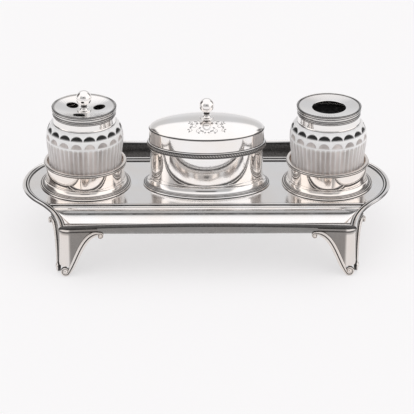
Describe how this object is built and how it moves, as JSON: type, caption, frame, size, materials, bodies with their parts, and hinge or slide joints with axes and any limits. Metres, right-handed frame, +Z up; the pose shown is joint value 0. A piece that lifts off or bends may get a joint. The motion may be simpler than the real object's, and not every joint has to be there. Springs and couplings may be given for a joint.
{
  "type": "inkstand",
  "caption": "Silver inkstand: footed tray with pen troughs, cut-glass ink and quill bottles in galleries, and an oval lidded box.",
  "frame": {"origin": "centre of the underside, on the surface the feet stand on", "axes": "+X along the tray towards the open ink bottle, +Y from front to back, +Z up"},
  "size_m": [0.3, 0.1778, 0.1217],
  "materials": {
    "tray_silver": "polished sterling silver, softly worn, with fine cleaning scratches",
    "border_silver": "polished applied reeded wire, tarnish left in the grooves",
    "foot_silver": "polished sheet with cast reeded straps, tarnish left in the grooves",
    "gallery_silver": "polished sterling silver, softly worn",
    "mount_silver": "polished sterling silver, fine circular cleaning marks",
    "box_silver": "polished sterling silver, softly worn, a light engraved ornament on the lid",
    "finial_silver": "polished turned silver",
    "cut_glass": "clear cut lead crystal",
    "pitch": "dull old pitch that fixes the collars to the glass"
  },
  "bodies": {
    "tray": {"tray_deck": "tray_silver", "front_pen_trough": "tray_silver", "rear_pen_trough": "tray_silver", "front_trough_moulding": "border_silver", "rear_trough_moulding": "border_silver", "front_border": "border_silver", "rear_border": "border_silver", "left_end_border": "border_silver", "right_end_border": "border_silver", "front_left_hollow_border": "border_silver", "rear_left_hollow_border": "border_silver", "front_right_hollow_border": "border_silver", "rear_right_hollow_border": "border_silver", "front_left_foot_sheet": "foot_silver", "front_left_foot_long_strap": "foot_silver", "front_left_foot_end_strap": "foot_silver", "rear_left_foot_sheet": "foot_silver", "rear_left_foot_long_strap": "foot_silver", "rear_left_foot_end_strap": "foot_silver", "front_right_foot_sheet": "foot_silver", "front_right_foot_long_strap": "foot_silver", "front_right_foot_end_strap": "foot_silver", "rear_right_foot_sheet": "foot_silver", "rear_right_foot_long_strap": "foot_silver", "rear_right_foot_end_strap": "foot_silver", "left_gallery_wall": "gallery_silver", "left_gallery_rim": "gallery_silver", "left_gallery_foot": "gallery_silver", "right_gallery_wall": "gallery_silver", "right_gallery_rim": "gallery_silver", "right_gallery_foot": "gallery_silver", "box_wall": "box_silver", "box_floor": "box_silver", "box_foot": "box_silver", "box_rim": "box_silver"},
    "left_bottle_body": {"left_bottle": "cut_glass", "left_bottle_collar": "mount_silver", "left_collar_pitch": "pitch"},
    "quill_cover_body": {"quill_cover": "mount_silver", "quill_finial": "finial_silver", "quill_finial_nut": "finial_silver"},
    "right_bottle_body": {"right_bottle": "cut_glass", "right_bottle_collar": "mount_silver", "right_collar_pitch": "pitch"},
    "ink_cover_body": {"ink_cover": "mount_silver"},
    "box_lid_body": {"box_lid": "box_silver", "box_lid_bezel": "box_silver", "box_finial": "finial_silver", "box_finial_nut": "finial_silver"}
  },
  "joints": [
    {"name": "left_bottle_lift", "type": "slide", "parent": "tray", "child": "left_bottle_body", "axis": [0, 0, 1], "range_m": [0, 0.09]},
    {"name": "quill_cover_lift", "type": "slide", "parent": "left_bottle_body", "child": "quill_cover_body", "axis": [0, 0, 1], "range_m": [0, 0.04]},
    {"name": "right_bottle_lift", "type": "slide", "parent": "tray", "child": "right_bottle_body", "axis": [0, 0, 1], "range_m": [0, 0.09]},
    {"name": "ink_cover_lift", "type": "slide", "parent": "right_bottle_body", "child": "ink_cover_body", "axis": [0, 0, 1], "range_m": [0, 0.04]},
    {"name": "box_lid_lift", "type": "slide", "parent": "tray", "child": "box_lid_body", "axis": [0, 0, 1], "range_m": [0, 0.07]}
  ]
}
